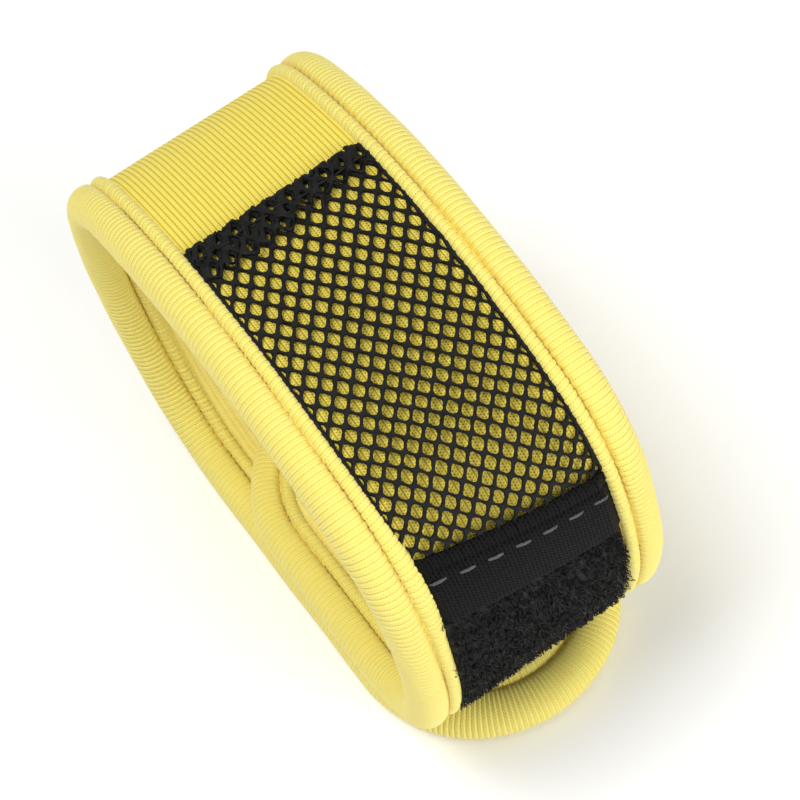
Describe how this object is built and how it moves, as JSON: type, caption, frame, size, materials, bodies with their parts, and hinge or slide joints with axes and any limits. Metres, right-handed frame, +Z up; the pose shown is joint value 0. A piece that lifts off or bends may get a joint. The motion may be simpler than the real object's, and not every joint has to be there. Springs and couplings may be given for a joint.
{
  "type": "wrist band with net pocket",
  "caption": "Soft foam-cored knit wrist band, bound round its edges, with a net pocket on the crown and a hook-and-loop strap end closed under the wrist.",
  "frame": {"origin": "on the resting plane, under the middle of the closed band", "axes": "+Z up from the strap under the wrist to the pocket, +Y along the forearm, +X across the wrist towards the pocket's mouth"},
  "size_m": [0.0735, 0.034, 0.0597],
  "materials": {
    "face_fabric": "yellow ribbed warp knit, matt",
    "foam_core": "open-cell foam sheet",
    "lining": "yellow brushed tricot, matt",
    "binding": "pale lemon ribbed stretch tape, slight sheen",
    "seam_thread": "polyester thread",
    "net": "black knitted diamond net",
    "black_thread": "polyester thread",
    "grey_thread": "polyester thread",
    "loop_pile": "black brushed loop pile",
    "hook_patch": "black moulded hooks on woven tape",
    "elastic": "black woven fold-over elastic"
  },
  "bodies": {
    "panel": {"panel_face_fabric": "face_fabric", "panel_foam_core": "foam_core", "panel_lining": "lining", "panel_binding": "binding", "panel_seam_thread": "seam_thread", "pocket_mesh": "net", "pocket_hem": "net", "pocket_hem_thread": "black_thread", "loop_patch": "loop_pile"},
    "side": {"side_face_fabric": "face_fabric", "side_foam_core": "foam_core", "side_lining": "lining", "side_binding_left": "binding", "side_binding_right": "binding", "side_seam_thread": "seam_thread"},
    "under": {"under_face_fabric": "face_fabric", "under_foam_core": "foam_core", "under_lining": "lining", "under_binding_left": "binding", "under_binding_right": "binding", "under_seam_thread": "seam_thread", "under_hook_patch": "hook_patch"},
    "tab": {"tab_face_fabric": "face_fabric", "tab_foam_core": "foam_core", "tab_lining": "lining", "tab_binding": "binding", "tab_seam_thread": "seam_thread", "tab_hook_patch": "hook_patch"},
    "mouth": {"mouth_elastic": "elastic", "mouth_stitches": "grey_thread"}
  },
  "joints": [
    {"name": "strap_side", "type": "hinge", "parent": "panel", "child": "side", "pos_m": [-0.03091, 0, 0.0501], "axis": [0, 1, 0], "range_deg": [0, 50]},
    {"name": "strap_under", "type": "hinge", "parent": "side", "child": "under", "pos_m": [-0.02389, 0, 0.00245], "axis": [0, 1, 0], "range_deg": [0, 75]},
    {"name": "tab_peel", "type": "hinge", "parent": "under", "child": "tab", "pos_m": [0.01, 0, 0], "axis": [0, 1, 0], "range_deg": [0, 60]},
    {"name": "mouth_gape", "type": "slide", "parent": "panel", "child": "mouth", "axis": [0.958, 0, 0.2869], "range_m": [0, 0.006], "stiffness_N_per_m": 60}
  ],
  "couplings": [
    {"joint": "strap_under", "follows": "strap_side", "ratio": 1.5}
  ]
}
